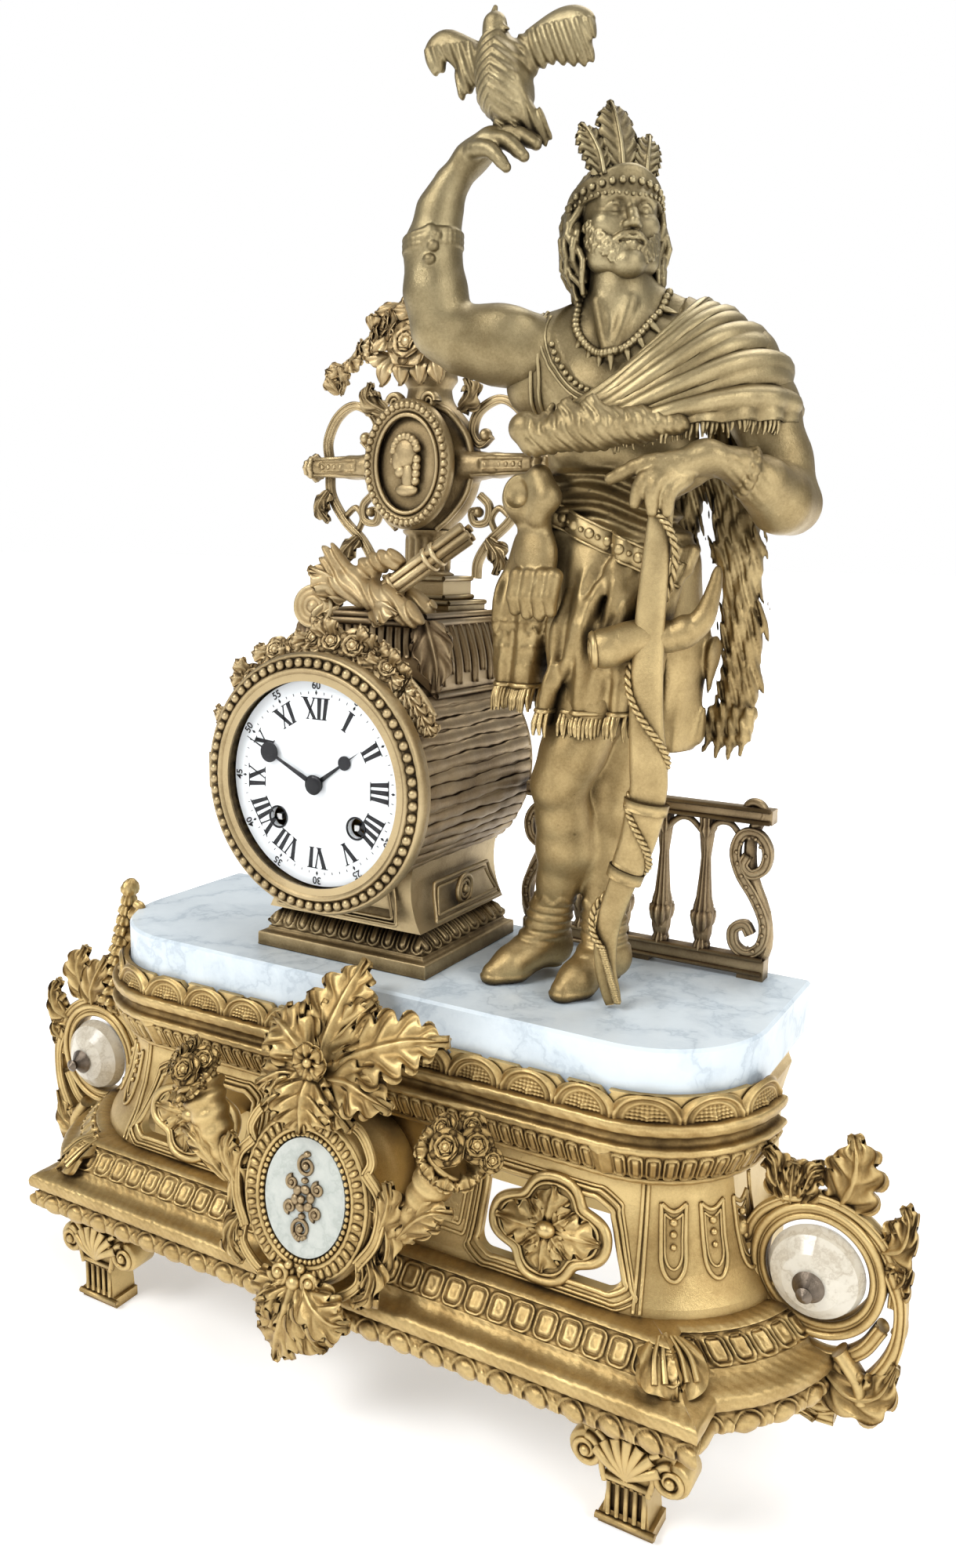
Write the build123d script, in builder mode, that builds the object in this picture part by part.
from build123d import *
import os
from math import atan2, cos, degrees, hypot, pi, radians, sin, sqrt

os.makedirs("parts", exist_ok=True)

# Figural clock with a marble deck on a gilt base. Millimetres, X right, Y back, Z up.
# The floor is at zero, and the base is centred on the origin from left to right.

# Heights of the base, stacked from the floor
foot_height = 45.7
plinth_height = 35.3
frieze_height = 49.0
cornice_height = 28.4
marble_height = 28.0
crest_height = 10.6

plinth_z = foot_height
frieze_z = plinth_z + plinth_height
cornice_z = frieze_z + frieze_height
marble_z = cornice_z + cornice_height
deck_z = marble_z + marble_height

# Plan of the lower plinth: a breakfront between round corners, and a narrow back
corner_x = 125.0
corner_y = 20.0
corner_radius = 61.0
breakfront_half = 151.7
breakfront_out = 4.7
back_y = 87.0
end_wall_x = 160.0
shoulder_y = 0
plinth_overhang = 20.0
plinth_wall = 6.0

# Plan of the frieze, the cornice and the marble
frieze_corner_x = 121.0
frieze_radius = 60.0
frieze_wall = 3.0
frieze_end_x = 156.0
frieze_back_y = 84.0
upper_corner_x = 117.0
upper_corner_y = 19.0
upper_radius = 49.0
cornice_overhang = 8.0
cornice_wall = 10.0
marble_back_y = 82.0
marble_chamfer = 6.0
crest_wall = 2.4
crest_gap = 1.0

# Shared clearances
fit = 0.06
seat_gap = 0.3
overrun = 5.0

# Clock
clock_x = -26.0
clock_z = 271.5
drum_radius = 52.0
drum_wall = 3.0
drum_front_y = -24.0
drum_back_y = 76.0
drum_middle_y = (drum_front_y + drum_back_y) / 2
clock_middle_y = 30.0


def facing(x, y, z):
    """Plane square to Y, seen from the front: right is X, up is Z."""
    return Plane(origin=(x, y, z), x_dir=(1, 0, 0), z_dir=(0, -1, 0))


def polygon(plane, points):
    """Closed outline of straight edges on a plane."""
    with BuildSketch(plane) as shape:
        with BuildLine():
            Polyline(*points, close=True)
        make_face()
    return shape.sketch


def slab(plane, points, depth):
    """Straight-edged outline drawn on a plane and carried back from it."""
    with BuildPart() as plate:
        extrude(polygon(plane, points), amount=-depth)
    return plate.part


def turned(x, z, outline):
    """Solid of revolution about a line along Y. The outline is given as y and radius."""
    plane = Plane(origin=(x, 0, z), x_dir=(0, 1, 0), z_dir=(1, 0, 0))
    with BuildPart() as body:
        revolve(polygon(plane, outline), axis=Axis((x, 0, z), (0, 1, 0)))
    return body.part


def rod(x, z, front, back, radius):
    """Plain cylinder along Y."""
    return turned(x, z, ((front, 0), (front, radius), (back, radius), (back, 0)))


def tube(x, z, front, back, radius, bore):
    """Cylinder along Y with a bore."""
    return turned(x, z, ((front, bore), (front, radius), (back, radius), (back, bore)))


def block(x, y, z, width, depth, height):
    """Box that stands on z, centred on x and y."""
    with BuildPart() as box:
        with BuildSketch(Plane(origin=(x, y, z))):
            Rectangle(width, depth)
        extrude(amount=height)
    return box.part


limb_sides = 10


def oval(plane, across, along):
    """Many-sided oval on a plane, for limbs and cast forms."""
    step = 2 * pi / limb_sides
    points = []
    for number in range(limb_sides):
        points.append((across * cos(number * step), along * sin(number * step)))
    return polygon(plane, points)


def heap(sections):
    """Form stacked upwards from ovals: each section is x, y, z, half width, half depth."""
    rings = []
    for x, y, z, across, along in sections:
        rings.append(oval(Plane(origin=(x, y, z)), across, along))
    with BuildPart() as form:
        loft(rings, ruled=True)
    return form.part


def limb(stations):
    """Form that follows a path: each station is x, y, z and the radius there."""
    rings = []
    last = len(stations) - 1
    for number in range(last + 1):
        x, y, z, radius = stations[number]
        before = stations[max(number - 1, 0)]
        after = stations[min(number + 1, last)]
        along = Vector(after[0] - before[0], after[1] - before[1], after[2] - before[2])
        aside = along.cross(Vector(0, 1, 0))
        if aside.length < abs(along.Y) / 10:
            aside = Vector(1, 0, 0)
        plane = Plane(origin=(x, y, z), x_dir=aside, z_dir=along)
        rings.append(oval(plane, radius, radius))
    with BuildPart() as form:
        loft(rings, ruled=True)
    return form.part


def eased(stations, steps):
    """More stations, on a smooth path through the given ones."""
    last = len(stations) - 1
    path = [stations[0]]
    for number in range(last):
        before = stations[max(number - 1, 0)]
        after = stations[min(number + 2, last)]
        for step in range(1, steps + 1):
            t = step / steps
            place = []
            for p, q, r, s in zip(before, stations[number], stations[number + 1], after):
                bend = (r - p) * t + (2 * p - 5 * q + 4 * r - s) * t**2 + (3 * q - p - 3 * r + s) * t**3
                place.append(q + bend / 2)
            path.append(tuple(place))
    return path


def rounded(points, steps):
    """Closed outline that runs smoothly through the given points."""
    path = eased([points[-1], *points, points[0], points[1]], steps)
    return path[steps : steps * (len(points) + 1)]


def mirrored(shares, across, low, high):
    """Outline with equal sides, from shares of its half width and of its height."""
    right = [(u * across, low + v * (high - low)) for u, v in shares]
    left = [(-x, z) for x, z in reversed(right) if x > 0]
    return right + left


def reach_at(radius, offset):
    """How far a circle reaches sideways at an offset from its centre line."""
    return sqrt(radius**2 - offset**2)


def corner_plan(z, centre, radius, step, end_x, shoulder, back):
    """Plan with a straight front, round corners that stop at a shoulder, and a narrow back.

    The step is where the straight front starts, as x and y."""
    x, y = centre
    step_x, front = step
    step_y = y - reach_at(radius, step_x - x)
    side_x = x + reach_at(radius, y - shoulder)
    turn = (atan2(step_y - y, step_x - x) + atan2(shoulder - y, side_x - x)) / 2
    middle = (x + radius * cos(turn), y + radius * sin(turn))
    with BuildSketch(Plane.XY.offset(z)) as plan:
        with BuildLine():
            Polyline((0, back), (end_x, back), (end_x, shoulder), (side_x, shoulder))
            ThreePointArc((side_x, shoulder), middle, (step_x, step_y))
            if front < step_y:
                Line((step_x, step_y), (step_x, front))
            Line((step_x, front), (0, front))
            mirror(about=Plane.YZ)
        make_face()
    return plan.sketch


def plinth_plan(z, out, inset=0):
    """Plan of the lower plinth, moved outwards, with its back faces moved in by inset."""
    front = corner_y - corner_radius - breakfront_out - out
    centre = (corner_x, corner_y)
    step_x = breakfront_half + out
    radius = corner_radius + out
    end_x = end_wall_x - inset
    shoulder = shoulder_y - inset
    return corner_plan(z, centre, radius, (step_x, front), end_x, shoulder, back_y - inset)


# Lower plinth: egg moulding, cove and gadroon tier, as height and overhang shares
plinth_profile_shares = (
    (0, 0.68),
    (0.14, 0.88),
    (0.32, 1),
    (0.6, 1),
    (0.64, 0.8),
    (0.74, 0.43),
    (0.94, 0.13),
    (1, 0),
)

sections = []
for height_share, out_share in plinth_profile_shares:
    level = plinth_z + height_share * plinth_height
    sections.append(plinth_plan(level, out_share * plinth_overhang))

with BuildPart() as lower_plinth:
    loft(sections, ruled=True)
    hollow = plinth_plan(plinth_z - overrun, -plinth_wall, plinth_wall)
    extrude(hollow, amount=plinth_height + 2 * overrun, mode=Mode.SUBTRACT)
lower_plinth.part.label = "lower_plinth"
export_step(lower_plinth.part, "parts/lower_plinth.step")


# Feet: a fluted shaft, a double neck band, two volutes with a fan and a cap
foot_x = 141.5
foot_depth = 14.0
foot_front_y = -53.0
foot_cap_half = 20.8
foot_base_half = 11.4
foot_shaft_half = 9.6
foot_neck_half = 8.0
foot_cap_height = 4.0
foot_base_height = 5.0
foot_neck_z = 20.5
foot_band_height = 3.0
volute_out = 16.3
volute_radius = 4.5
volute_z = 29.0
flute_width = 2.2
flute_depth = 1.2
flute_count = 4


def foot_shape(plane):
    """One foot, drawn on its front plane with the floor at zero."""
    fan_z = foot_neck_z + foot_band_height
    cap_z = foot_height - foot_cap_height
    band_half = foot_neck_half + flute_depth
    with BuildPart() as foot:
        with BuildSketch(plane):
            with BuildLine():
                Polyline((0, 0), (foot_base_half, 0), (foot_base_half, foot_base_height))
                Line((foot_base_half, foot_base_height), (foot_shaft_half, foot_base_height))
                Line((foot_shaft_half, foot_base_height), (foot_neck_half, foot_neck_z))
                Polyline((foot_neck_half, foot_neck_z), (band_half, foot_neck_z), (band_half, fan_z))
                Polyline((band_half, fan_z), (foot_neck_half, fan_z))
                fan_start = (foot_neck_half, fan_z)
                fan_end = (foot_cap_half - flute_depth, cap_z)
                SagittaArc(fan_start, fan_end, -flute_width)
                Polyline(fan_end, (foot_cap_half, cap_z), (foot_cap_half, foot_height), (0, foot_height))
                mirror(about=Plane.YZ)
            make_face()
            with Locations((-volute_out, volute_z), (volute_out, volute_z)):
                Circle(volute_radius)
        extrude(amount=-foot_depth)
        with BuildSketch(plane):
            with Locations((0, (foot_base_height + foot_neck_z) / 2)):
                with GridLocations(2 * foot_shaft_half / (flute_count + 1), 0, flute_count, 1):
                    Rectangle(flute_width, (foot_neck_z - foot_base_height) * 3 / 4)
        extrude(amount=-flute_depth, mode=Mode.SUBTRACT)
    return foot.part


for name, y, way in (("front_feet", foot_front_y, 1), ("back_feet", back_y, -1)):
    with BuildPart() as feet:
        for side in (-1, 1):
            plane = Plane(origin=(side * foot_x, y, 0), x_dir=(way, 0, 0), z_dir=(0, -way, 0))
            add(foot_shape(plane))
    feet.part.label = name
    export_step(feet.part, f"parts/{name}.step")


# Frieze: a thin concave casting, open at the back, with an opening on each side
frieze_profile_shares = (
    (0, 1),
    (0.07, 0.98),
    (0.29, 0.88),
    (0.55, 0.8),
    (0.78, 0.757),
    (1, 0.733),
)
opening_inner_x = 64.0
opening_low_x = 131.0
opening_high_x = 118.0
opening_sill = 6.0
opening_head = 12.0
opening_corner = 6.0


def frieze_plan(z, radius, inset=0):
    """Plan of the frieze at one height."""
    centre = (frieze_corner_x, corner_y)
    step = (frieze_corner_x, corner_y - radius)
    back = frieze_back_y + inset
    return corner_plan(z, centre, radius, step, frieze_end_x - inset, shoulder_y - inset, back)


def frieze_form(grow, inset=0, extra=0):
    """Solid inside the frieze profile, grown or shrunk."""
    levels = []
    for height_share, radius_share in frieze_profile_shares:
        lift = extra * (2 * height_share - 1)
        level = frieze_z + height_share * frieze_height + lift
        levels.append(frieze_plan(level, radius_share * frieze_radius + grow, inset))
    with BuildPart() as form:
        loft(levels, ruled=True)
    return form.part


opening_low_z = frieze_z + opening_sill
opening_high_z = cornice_z - opening_head
with BuildPart() as frieze_case:
    add(frieze_form(0))
    add(frieze_form(-frieze_wall, frieze_wall, overrun), mode=Mode.SUBTRACT)
    for way in (-1, 1):
        corners = (
            (way * opening_inner_x, opening_low_z),
            (way * opening_low_x, opening_low_z),
            (way * opening_high_x, opening_high_z),
            (way * opening_inner_x, opening_high_z),
        )
        with BuildSketch(facing(0, corner_y - frieze_radius - overrun, 0)):
            with BuildLine():
                FilletPolyline(*corners, radius=opening_corner, close=True)
            make_face()
        extrude(amount=-frieze_radius, mode=Mode.SUBTRACT)
frieze_case.part.label = "frieze_case"
export_step(frieze_case.part, "parts/frieze_case.step")


# Cornice: cap, tongue band, ogee and a scalloped crest around the front
cornice_profile_shares = (
    (0, -0.25),
    (0.11, 0.15),
    (0.25, 0.38),
    (0.6, 1),
    (0.73, 0.6),
    (0.9, 0.88),
    (1, 0.88),
)
arch_count = 13
arch_depth = 3.0


def upper_plan(z, out, inset=0):
    """Plan of the cornice, moved outwards, with its back faces moved in by inset."""
    radius = upper_radius + out
    centre = (upper_corner_x, upper_corner_y)
    step = (upper_corner_x, upper_corner_y - radius)
    end_x = frieze_end_x + out / 2 - inset / 2
    return corner_plan(z, centre, radius, step, end_x, shoulder_y - inset, marble_back_y - inset)


sections = []
for height_share, out_share in cornice_profile_shares:
    level = cornice_z + height_share * cornice_height
    sections.append(upper_plan(level, out_share * cornice_overhang))

arch_pitch = 2 * upper_corner_x / arch_count
crest_front_y = upper_corner_y - upper_radius - crest_gap - crest_wall
with BuildPart() as cornice:
    loft(sections, ruled=True)
    hollow = upper_plan(cornice_z - overrun, -cornice_wall, cornice_wall)
    extrude(hollow, amount=cornice_height + 2 * overrun, mode=Mode.SUBTRACT)
    with BuildSketch(Plane.XY.offset(marble_z)):
        add(upper_plan(0, crest_gap + crest_wall))
        add(upper_plan(0, crest_gap), mode=Mode.SUBTRACT)
        with Locations((0, shoulder_y + back_y)):
            Rectangle(4 * back_y + 4 * frieze_end_x, 2 * back_y, mode=Mode.SUBTRACT)
    extrude(amount=crest_height)
    with BuildSketch(facing(0, crest_front_y - overrun, marble_z + crest_height)):
        with GridLocations(arch_pitch, 0, arch_count + 1, 1):
            Rectangle(arch_depth, 2 * arch_depth, rotation=45)
    extrude(amount=-2 * overrun, mode=Mode.SUBTRACT)
cornice.part.label = "cornice"
export_step(cornice.part, "parts/cornice.step")


# Marble slab with round front corners and a chamfered underside
marble_edge = 1.2
stud_radius = 3.0
stud_out = 32.0
stud_back = 30.0
stud_places = (
    (clock_x - stud_out, clock_middle_y - stud_back),
    (clock_x + stud_out, clock_middle_y + stud_back),
)


def marble_plan(z, out):
    """Plan of the marble: quarter circles at the front, square at the back."""
    radius = upper_radius + out
    front = upper_corner_y - radius
    side = upper_corner_x + radius
    bend = (upper_corner_x + radius * cos(pi / 4), upper_corner_y - radius * sin(pi / 4))
    with BuildSketch(Plane.XY.offset(z)) as plan:
        with BuildLine():
            Polyline((0, marble_back_y), (side, marble_back_y), (side, upper_corner_y))
            ThreePointArc((side, upper_corner_y), bend, (upper_corner_x, front))
            Line((upper_corner_x, front), (0, front))
            mirror(about=Plane.YZ)
        make_face()
    return plan.sketch


with BuildPart() as marble_slab:
    edge_sections = (
        marble_plan(marble_z, -marble_chamfer),
        marble_plan(marble_z + marble_chamfer, 0),
        marble_plan(deck_z - marble_edge, 0),
        marble_plan(deck_z, -marble_edge),
    )
    loft(edge_sections, ruled=True)
    for x, y in stud_places:
        with BuildSketch(Plane(origin=(x, y, marble_z))):
            Circle(stud_radius + seat_gap)
        extrude(amount=marble_height, mode=Mode.SUBTRACT)
marble_slab.part.label = "marble_slab"
export_step(marble_slab.part, "parts/marble_slab.step")


# Studs with nuts that hold the clock on the marble
nut_radius = 7.0
nut_height = 5.0
stud_grip = 8.0
with BuildPart() as fixing_studs:
    for x, y in stud_places:
        with BuildSketch(Plane(origin=(x, y, marble_z - nut_height))):
            RegularPolygon(nut_radius, 6)
        extrude(amount=nut_height)
        with BuildSketch(Plane(origin=(x, y, marble_z - 2 * nut_height))):
            Circle(stud_radius)
        extrude(amount=2 * nut_height + marble_height + stud_grip)
fixing_studs.part.label = "fixing_studs"
export_step(fixing_studs.part, "parts/fixing_studs.step")


# Lobed plates that stand in the two frieze openings
rosette_x = 95.0
rosette_half_width = 24.0
rosette_thick = 3.0
rosette_boss = 7.0
rosette_lobe_share = 0.42
rosette_low_share = 0.07
rosette_high_share = 0.82


def frieze_front_y(height_share):
    """Front of the frieze wall at a share of its height."""
    low = frieze_profile_shares[0]
    for high in frieze_profile_shares[1:]:
        if height_share <= high[0]:
            break
        low = high
    part_share = (height_share - low[0]) / (high[0] - low[0])
    radius_share = low[1] + part_share * (high[1] - low[1])
    return corner_y - radius_share * frieze_radius


low_y = frieze_front_y(rosette_low_share)
high_y = frieze_front_y(rosette_high_share)
rosette_low = Vector(0, low_y, frieze_z + rosette_low_share * frieze_height)
rosette_high = Vector(0, high_y, frieze_z + rosette_high_share * frieze_height)
rosette_rise = rosette_high - rosette_low
rosette_half_height = rosette_rise.length / 2
rosette_middle = (rosette_low + rosette_high) / 2
rosette_outward = Vector(1, 0, 0).cross(rosette_rise).normalized()
rosette_seat = rosette_middle + rosette_outward * seat_gap
with BuildPart() as opening_rosettes:
    for way in (-1, 1):
        origin = (way * rosette_x, rosette_seat.Y, rosette_seat.Z)
        plane = Plane(origin=origin, x_dir=(1, 0, 0), z_dir=rosette_outward)
        with BuildSketch(plane):
            Ellipse(rosette_half_width * rosette_lobe_share, rosette_half_height)
            Ellipse(rosette_half_width, rosette_half_height * rosette_lobe_share)
            Rectangle(rosette_half_width, rosette_half_height)
        extrude(amount=rosette_thick)
        with BuildSketch(plane.offset(rosette_thick)):
            Ellipse(rosette_boss, rosette_boss * 3 / 4)
        extrude(amount=rosette_thick, taper=30)
opening_rosettes.part.label = "opening_rosettes"
export_step(opening_rosettes.part, "parts/opening_rosettes.step")


# Central medallion: leaning oval frame with a neck behind it and a leaf pendant below
medallion_y = -66.0
medallion_z = 105.6
medallion_tilt = 8.9
medallion_half_width = 33.0
medallion_half_height = 36.0
plaque_half_width = 20.5
plaque_half_height = 25.0
medallion_thick = 8.0
plaque_thick = 4.0
neck_half = 20.0
neck_low_z = 88.0
neck_high_z = 122.0
pendant_tip_z = 44.0
pendant_front_y = -87.0
pendant_half_width = 17.0
pendant_leaf_shares = (
    (0, 0),
    (0.26, 0.16),
    (0.56, 0.14),
    (0.62, 0.34),
    (1, 0.36),
    (0.92, 0.56),
    (0.7, 0.66),
    (0.86, 0.84),
    (0.5, 1),
)

medallion_plane = Plane(
    origin=(0, medallion_y, medallion_z),
    x_dir=(1, 0, 0),
    z_dir=(0, -cos(radians(medallion_tilt)), sin(radians(medallion_tilt))),
)
plinth_front_y = corner_y - corner_radius - breakfront_out - plinth_overhang
pendant_back_y = plinth_front_y - seat_gap
pendant_top_z = medallion_z - medallion_half_height + medallion_thick
with BuildPart() as medallion_frame:
    with BuildSketch(medallion_plane):
        Ellipse(medallion_half_width, medallion_half_height)
    extrude(amount=medallion_thick / 2, both=True)
    neck_depth = -medallion_y
    neck_height = neck_high_z - neck_low_z
    add(block(0, medallion_y + neck_depth / 2, neck_low_z, 2 * neck_half, neck_depth, neck_height))
    add(frieze_form(seat_gap), mode=Mode.SUBTRACT)
    with BuildSketch(medallion_plane.offset(medallion_thick / 2 - plaque_thick)):
        Ellipse(plaque_half_width + fit, plaque_half_height + fit)
    extrude(amount=plaque_thick + medallion_thick, mode=Mode.SUBTRACT)
    pendant_outline = (
        (medallion_y, pendant_top_z),
        (pendant_back_y, pendant_top_z - medallion_thick),
        (pendant_back_y, plinth_z + plinth_height / 3),
        (pendant_front_y + medallion_thick / 2, pendant_tip_z),
        (pendant_front_y, pendant_tip_z + medallion_thick / 2),
        (medallion_y - 2 * medallion_thick, pendant_top_z),
    )
    with BuildPart(mode=Mode.PRIVATE) as pendant:
        side_plane = Plane(origin=(0, 0, 0), x_dir=(0, 1, 0), z_dir=(1, 0, 0))
        extrude(polygon(side_plane, pendant_outline), amount=pendant_half_width, both=True)
        front_plane = facing(0, pendant_front_y - overrun, 0)
        leaf = mirrored(pendant_leaf_shares, pendant_half_width, pendant_tip_z, pendant_top_z)
        leaf_depth = medallion_y - pendant_front_y + 2 * overrun
        extrude(polygon(front_plane, leaf), amount=-leaf_depth, mode=Mode.INTERSECT)
    add(pendant.part)
medallion_frame.part.label = "medallion_frame"
export_step(medallion_frame.part, "parts/medallion_frame.step")

with BuildPart() as medallion_plaque:
    with BuildSketch(medallion_plane.offset(medallion_thick / 2 - plaque_thick)):
        Ellipse(plaque_half_width, plaque_half_height)
    extrude(amount=plaque_thick)
medallion_plaque.part.label = "medallion_plaque"
export_step(medallion_plaque.part, "parts/medallion_plaque.step")

spray_thick = 1.6
spray_petals = 7
spray_petal_out = 8.0
with BuildPart() as medallion_spray:
    with BuildSketch(medallion_plane.offset(medallion_thick / 2)):
        Circle(spray_petal_out * 3 / 4)
        with PolarLocations(spray_petal_out, spray_petals):
            Ellipse(spray_petal_out / 2, spray_petal_out / 4)
    extrude(amount=spray_thick)
medallion_spray.part.label = "medallion_spray"
export_step(medallion_spray.part, "parts/medallion_spray.step")


# Acanthus crest above the medallion, leaning back over the marble edge
crest_leaf_top_z = 198.5
crest_leaf_width = 46.0
crest_leaf_thick = 9.0
crest_leaf_top_y = -33.0
crest_leaf_low_y = -62.0
crest_leaf_shares = (
    (0.34, 0),
    (0.6, 0.1),
    (1.2, 0.14),
    (0.98, 0.28),
    (1.3, 0.42),
    (0.8, 0.5),
    (0.74, 0.66),
    (0.42, 0.7),
    (0.36, 0.88),
    (0.1, 1),
)
crest_side_shares = (
    (0, 0, 0.5),
    (0.2, 0.24, 0.45),
    (0.44, 0.48, 0.4),
    (0.68, 0.74, 0.35),
    (1, 1, 0.25),
)
crest_leaf_low_z = medallion_z + medallion_half_height + seat_gap
front_edge = []
back_edge = []
for rise_share, lean_share, thick_share in crest_side_shares:
    z = crest_leaf_low_z + rise_share * (crest_leaf_top_z - crest_leaf_low_z)
    y = crest_leaf_low_y + lean_share * (crest_leaf_top_y - crest_leaf_low_y)
    front_edge.append((y - thick_share * crest_leaf_thick, z))
    back_edge.append((y + thick_share * crest_leaf_thick, z))
cornice_front_y = upper_corner_y - upper_radius - cornice_overhang
with BuildPart() as medallion_crest:
    side_plane = Plane(origin=(0, 0, 0), x_dir=(0, 1, 0), z_dir=(1, 0, 0))
    edges = front_edge + back_edge[::-1]
    extrude(polygon(side_plane, edges), amount=crest_leaf_width, both=True)
    front_plane = facing(0, crest_leaf_low_y - 2 * overrun, 0)
    leaf = mirrored(crest_leaf_shares, crest_leaf_width / 2, crest_leaf_low_z, crest_leaf_top_z)
    leaf_depth = crest_leaf_top_y - crest_leaf_low_y + 4 * overrun
    extrude(polygon(front_plane, leaf), amount=-leaf_depth, mode=Mode.INTERSECT)
    root_z = cornice_z + cornice_height / 2
    root_depth = cornice_front_y - seat_gap - crest_leaf_low_y
    root_y = cornice_front_y - seat_gap - root_depth / 2
    add(block(0, root_y, root_z, crest_leaf_thick * 2, root_depth, crest_leaf_thick))
medallion_crest.part.label = "medallion_crest"
export_step(medallion_crest.part, "parts/medallion_crest.step")


# Cornucopias beside the medallion, each with a bunch of flowers in its mouth
horn_y = -62.0
horn_x = 62.0
horn_low_z = 92.0
horn_rise = 45.0
horn_mouth = 11.0
horn_shares = (
    (0.538, 0, 0.27),
    (0.66, 0.11, 0.41),
    (0.81, 0.33, 0.59),
    (0.92, 0.64, 0.77),
    (1, 1, 1),
)
flower_count = 5
flower_radius = 6.0
flower_rise = 5.0
for name, way in (("left_cornucopia", -1), ("right_cornucopia", 1)):
    path = []
    for out_share, rise_share, mouth_share in horn_shares:
        z = horn_low_z + rise_share * horn_rise
        path.append((way * out_share * horn_x, horn_y, z, mouth_share * horn_mouth))
    mouth_z = horn_low_z + horn_rise
    with BuildPart() as cornucopia:
        add(limb(path))
        for number in range(flower_count):
            angle = 2 * pi * number / flower_count
            x = way * horn_x + horn_mouth / 2 * cos(angle)
            y = horn_y + horn_mouth / 2 * sin(angle)
            low = mouth_z - flower_rise
            petals = (
                (x, y, low, flower_radius / 2, flower_radius / 2),
                (x, y, mouth_z + flower_rise, flower_radius, flower_radius),
                (x, y, mouth_z + 2 * flower_rise, flower_radius / 2, flower_radius / 2),
            )
            add(heap(petals))
    cornucopia.part.label = name
    export_step(cornucopia.part, f"parts/{name}.step")


# End scrolls: an upright oval ring with leaves and volutes, set against the shoulder
ring_x = 195.2
ring_z = 98.7
ring_half_width = 24.4
ring_half_height = 31.0
ring_hole_half = 20.4
ring_depth = 14.0
outline_steps = 3
bar_half = 2.5
bar_depth = 4.0
boss_radius = 19.0
boss_depth = 21.0
finial_rod = 1.5
finial_reach = 9.0
post_radius = 6.5
post_top_z = 201.0

# Outline pieces of the scroll, as shares of the ring's half width across and half height up
lower_scroll_shares = (
    (-0.70, -0.72),
    (0.16, -1.05),
    (0.44, -1.46),
    (0.08, -1.72),
    (-0.22, -1.92),
    (0.16, -2.07),
    (0.74, -1.92),
    (1.2, -1.56),
    (1.38, -1.1),
    (1.55, -0.52),
    (1.4, -0.3),
    (1.1, -0.45),
    (0.72, -0.72),
)
top_leaf_shares = (
    (0.05, 0.98),
    (0.34, 1.36),
    (0.6, 1.85),
    (0.86, 1.66),
    (0.9, 1.28),
    (0.7, 0.8),
)
outer_leaf_shares = (
    (0.7, 0.6),
    (1.1, 0.95),
    (1.3, 0.86),
    (1.26, 0.4),
    (0.9, 0.06),
)
inner_volute_shares = (
    (-1.36, 0.2),
    (-1.1, 0.3),
    (-0.8, 0.5),
    (-0.62, 0.72),
    (-0.86, 0.75),
    (-1.1, 0.6),
    (-1.3, 0.6),
    (-1.5, 0.4),
)
tulip_shares = (
    (-0.62, 0.78),
    (-0.5, 1.3),
    (-0.34, 1.56),
    (-0.2, 1.3),
    (-0.1, 0.9),
)
scroll_outlines = (
    lower_scroll_shares,
    top_leaf_shares,
    outer_leaf_shares,
    inner_volute_shares,
    tulip_shares,
)

with BuildPart() as right_end_scroll:
    ring_plane = facing(ring_x, shoulder_y, ring_z)
    with BuildSketch(ring_plane):
        Ellipse(ring_half_width, ring_half_height)
    extrude(amount=-ring_depth)
    for outline in scroll_outlines:
        corners = [(u * ring_half_width, v * ring_half_height) for u, v in outline]
        add(slab(ring_plane, rounded(corners, outline_steps), ring_depth))
    with BuildSketch(ring_plane):
        Circle(ring_hole_half)
    extrude(amount=-ring_depth, mode=Mode.SUBTRACT)
    with BuildSketch(ring_plane.offset(bar_depth - ring_depth)):
        Rectangle(2 * bar_half, 2 * ring_hole_half + bar_half)
    extrude(amount=-bar_depth)
    with BuildSketch(ring_plane.offset(-ring_depth)):
        Circle(finial_rod + fit)
    extrude(amount=ring_depth, mode=Mode.SUBTRACT)
right_end_scroll.part.label = "right_end_scroll"
export_step(right_end_scroll.part, "parts/right_end_scroll.step")

post_shares = (
    (-0.3, 0.02, 1),
    (-0.45, 0.3, 1),
    (-0.72, 0.62, 0.85),
    (-0.88, 0.9, 0.55),
    (-0.9, 1, 0.2),
)
post_low_z = ring_z + ring_half_height
sections = []
for across_share, rise_share, radius_share in post_shares:
    x = -ring_x - across_share * ring_half_width
    z = post_low_z + rise_share * (post_top_z - post_low_z)
    radius = radius_share * post_radius
    sections.append((x, shoulder_y + ring_depth / 2, z, radius, radius))
with BuildPart() as left_end_scroll:
    mirror(right_end_scroll.part, about=Plane.YZ)
    add(heap(sections))
left_end_scroll.part.label = "left_end_scroll"
export_step(left_end_scroll.part, "parts/left_end_scroll.step")

boss_profile_shares = ((0, 0.55), (0.16, 0.86), (0.4, 1), (0.64, 0.9), (0.86, 0.6), (1, 0.25))
boss_back_y = shoulder_y + ring_depth - bar_depth - seat_gap
boss_front_y = boss_back_y - boss_depth
bore = finial_rod + fit
outline = [(boss_back_y, bore)]
for depth_share, radius_share in boss_profile_shares:
    outline.append((boss_back_y - depth_share * boss_depth, radius_share * boss_radius))
outline.append((boss_front_y, bore))
with BuildPart() as alabaster_bosses:
    for way in (-1, 1):
        add(turned(way * ring_x, ring_z, outline))
alabaster_bosses.part.label = "alabaster_bosses"
export_step(alabaster_bosses.part, "parts/alabaster_bosses.step")

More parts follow.
